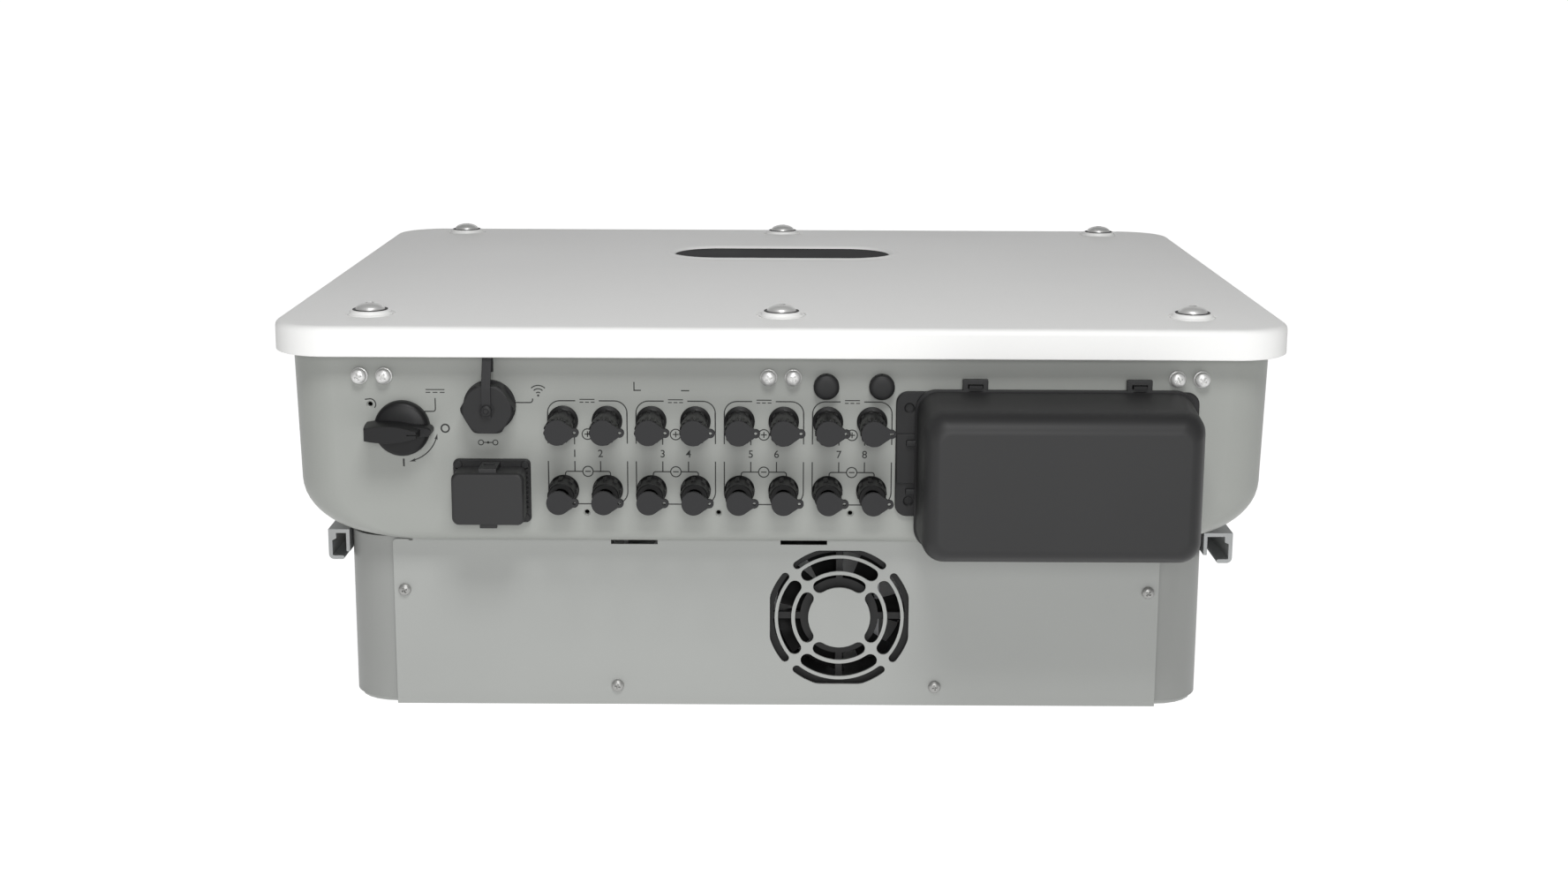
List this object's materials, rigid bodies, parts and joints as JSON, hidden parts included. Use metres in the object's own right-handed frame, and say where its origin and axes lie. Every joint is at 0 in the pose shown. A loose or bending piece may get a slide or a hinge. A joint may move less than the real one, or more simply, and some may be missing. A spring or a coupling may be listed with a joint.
{
  "type": "string inverter",
  "caption": "Box-shaped solar string inverter with a crowned front cover, a connector panel, a deep AC terminal cover, a fan-cooled duct behind it and side mounting rails.",
  "frame": {"origin": "middle of the rear resting face, under the middle of the housing", "axes": "+X across the width, to the right seen from the connector side; -Y towards the connector panel; +Z out of the front cover"},
  "size_m": [0.647, 0.59, 0.2659],
  "materials": {
    "cover_paint": "satin powder coat with a very fine texture",
    "badge": "smooth plain gloss",
    "screw_metal": "bright turned steel",
    "seal_rubber": "matte",
    "housing_paint": "fine powder coat on cast metal",
    "duct_paint": "fine powder coat on sheet metal",
    "fan_plastic": "moulded",
    "heat_sink_metal": "extruded",
    "rail_metal": "extruded, satin",
    "connector_plastic": "moulded, fine grain",
    "knob_plastic": "moulded, satin",
    "strap_rubber": "soft, matte",
    "cap_rubber": "moulded, matte",
    "cover_plastic": "moulded, fine grain",
    "circuit_board": "lacquered",
    "capacitor_metal": "sleeved cans",
    "choke_case": "painted"
  },
  "bodies": {
    "root": {"front_cover": "cover_paint", "cover_badge": "badge", "cover_screw_near_left": "screw_metal", "cover_screw_near_middle": "screw_metal", "cover_screw_near_right": "screw_metal", "cover_screw_far_left": "screw_metal", "cover_screw_far_middle": "screw_metal", "cover_screw_far_right": "screw_metal", "cover_gasket": "seal_rubber", "housing": "housing_paint", "duct_shroud_left": "duct_paint", "duct_shroud_right": "duct_paint", "rear_plate": "duct_paint", "fan_plate": "duct_paint", "fan_plate_screw_1": "screw_metal", "fan_plate_screw_2": "screw_metal", "fan_plate_screw_3": "screw_metal", "fan_plate_screw_4": "screw_metal", "outlet_grille": "duct_paint", "fan_frame": "fan_plastic", "heat_sink": "heat_sink_metal", "mounting_rail_left": "rail_metal", "mounting_rail_right": "rail_metal", "positive_sockets": "connector_plastic", "negative_sockets": "connector_plastic", "case_screws_left": "screw_metal", "case_screws_middle": "screw_metal", "case_screws_right": "screw_metal", "dc_switch_body": "connector_plastic", "dongle_port": "connector_plastic", "dongle_strap": "strap_rubber", "com_port": "connector_plastic", "vent_valve_1": "connector_plastic", "vent_valve_2": "connector_plastic", "ac_base": "cover_plastic", "power_board": "circuit_board", "capacitor_bank": "capacitor_metal", "choke_block": "choke_case"},
    "dc_knob": {"dc_switch_knob": "knob_plastic"},
    "fan_wheel": {"fan_rotor": "fan_plastic"},
    "data_cap_pin": {"dongle_cap_pin": "connector_plastic"},
    "data_cap": {"dongle_cap": "connector_plastic"},
    "com_plug_cap": {"com_cap": "cover_plastic"},
    "ac_lid": {"ac_cover": "cover_plastic"},
    "dust_cap_positive_1_body": {"dust_cap_positive_1": "cap_rubber"},
    "dust_cap_positive_2_body": {"dust_cap_positive_2": "cap_rubber"},
    "dust_cap_positive_3_body": {"dust_cap_positive_3": "cap_rubber"},
    "dust_cap_positive_4_body": {"dust_cap_positive_4": "cap_rubber"},
    "dust_cap_positive_5_body": {"dust_cap_positive_5": "cap_rubber"},
    "dust_cap_positive_6_body": {"dust_cap_positive_6": "cap_rubber"},
    "dust_cap_positive_7_body": {"dust_cap_positive_7": "cap_rubber"},
    "dust_cap_positive_8_body": {"dust_cap_positive_8": "cap_rubber"},
    "dust_cap_negative_1_body": {"dust_cap_negative_1": "cap_rubber"},
    "dust_cap_negative_2_body": {"dust_cap_negative_2": "cap_rubber"},
    "dust_cap_negative_3_body": {"dust_cap_negative_3": "cap_rubber"},
    "dust_cap_negative_4_body": {"dust_cap_negative_4": "cap_rubber"},
    "dust_cap_negative_5_body": {"dust_cap_negative_5": "cap_rubber"},
    "dust_cap_negative_6_body": {"dust_cap_negative_6": "cap_rubber"},
    "dust_cap_negative_7_body": {"dust_cap_negative_7": "cap_rubber"},
    "dust_cap_negative_8_body": {"dust_cap_negative_8": "cap_rubber"}
  },
  "joints": [
    {"name": "dc_switch_turn", "type": "hinge", "parent": "root", "child": "dc_knob", "pos_m": [-0.2405, -0.262, 0.19], "axis": [0, 1, 0], "range_deg": [0, 90]},
    {"name": "fan_spin", "type": "hinge", "parent": "root", "child": "fan_wheel", "pos_m": [0.0387, -0.2464, 0.06], "axis": [0, 1, 0], "continuous": true},
    {"name": "dongle_cap_lift", "type": "slide", "parent": "root", "child": "data_cap_pin", "axis": [0, -1, 0], "range_m": [0, 0.006], "deforming": ["dongle_strap"]},
    {"name": "dongle_cap_turn", "type": "hinge", "parent": "data_cap_pin", "child": "data_cap", "pos_m": [-0.1847, -0.262, 0.2046], "axis": [0, -1, 0], "range_deg": [0, 720]},
    {"name": "com_cap_pull", "type": "slide", "parent": "root", "child": "com_plug_cap", "axis": [0, -1, 0], "range_m": [0, 0.03]},
    {"name": "ac_cover_pull", "type": "slide", "parent": "root", "child": "ac_lid", "axis": [0, -1, 0], "range_m": [0, 0.08]},
    {"name": "dust_cap_positive_1_pull", "type": "slide", "parent": "root", "child": "dust_cap_positive_1_body", "axis": [0, -1, 0], "range_m": [0, 0.034]},
    {"name": "dust_cap_positive_2_pull", "type": "slide", "parent": "root", "child": "dust_cap_positive_2_body", "axis": [0, -1, 0], "range_m": [0, 0.034]},
    {"name": "dust_cap_positive_3_pull", "type": "slide", "parent": "root", "child": "dust_cap_positive_3_body", "axis": [0, -1, 0], "range_m": [0, 0.034]},
    {"name": "dust_cap_positive_4_pull", "type": "slide", "parent": "root", "child": "dust_cap_positive_4_body", "axis": [0, -1, 0], "range_m": [0, 0.034]},
    {"name": "dust_cap_positive_5_pull", "type": "slide", "parent": "root", "child": "dust_cap_positive_5_body", "axis": [0, -1, 0], "range_m": [0, 0.034]},
    {"name": "dust_cap_positive_6_pull", "type": "slide", "parent": "root", "child": "dust_cap_positive_6_body", "axis": [0, -1, 0], "range_m": [0, 0.034]},
    {"name": "dust_cap_positive_7_pull", "type": "slide", "parent": "root", "child": "dust_cap_positive_7_body", "axis": [0, -1, 0], "range_m": [0, 0.034]},
    {"name": "dust_cap_positive_8_pull", "type": "slide", "parent": "root", "child": "dust_cap_positive_8_body", "axis": [0, -1, 0], "range_m": [0, 0.034]},
    {"name": "dust_cap_negative_1_pull", "type": "slide", "parent": "root", "child": "dust_cap_negative_1_body", "axis": [0, -1, 0], "range_m": [0, 0.034]},
    {"name": "dust_cap_negative_2_pull", "type": "slide", "parent": "root", "child": "dust_cap_negative_2_body", "axis": [0, -1, 0], "range_m": [0, 0.034]},
    {"name": "dust_cap_negative_3_pull", "type": "slide", "parent": "root", "child": "dust_cap_negative_3_body", "axis": [0, -1, 0], "range_m": [0, 0.034]},
    {"name": "dust_cap_negative_4_pull", "type": "slide", "parent": "root", "child": "dust_cap_negative_4_body", "axis": [0, -1, 0], "range_m": [0, 0.034]},
    {"name": "dust_cap_negative_5_pull", "type": "slide", "parent": "root", "child": "dust_cap_negative_5_body", "axis": [0, -1, 0], "range_m": [0, 0.034]},
    {"name": "dust_cap_negative_6_pull", "type": "slide", "parent": "root", "child": "dust_cap_negative_6_body", "axis": [0, -1, 0], "range_m": [0, 0.034]},
    {"name": "dust_cap_negative_7_pull", "type": "slide", "parent": "root", "child": "dust_cap_negative_7_body", "axis": [0, -1, 0], "range_m": [0, 0.034]},
    {"name": "dust_cap_negative_8_pull", "type": "slide", "parent": "root", "child": "dust_cap_negative_8_body", "axis": [0, -1, 0], "range_m": [0, 0.034]}
  ],
  "couplings": [
    {"joint": "dongle_cap_lift", "follows": "dongle_cap_turn", "m_per_rad": 0.000477}
  ]
}
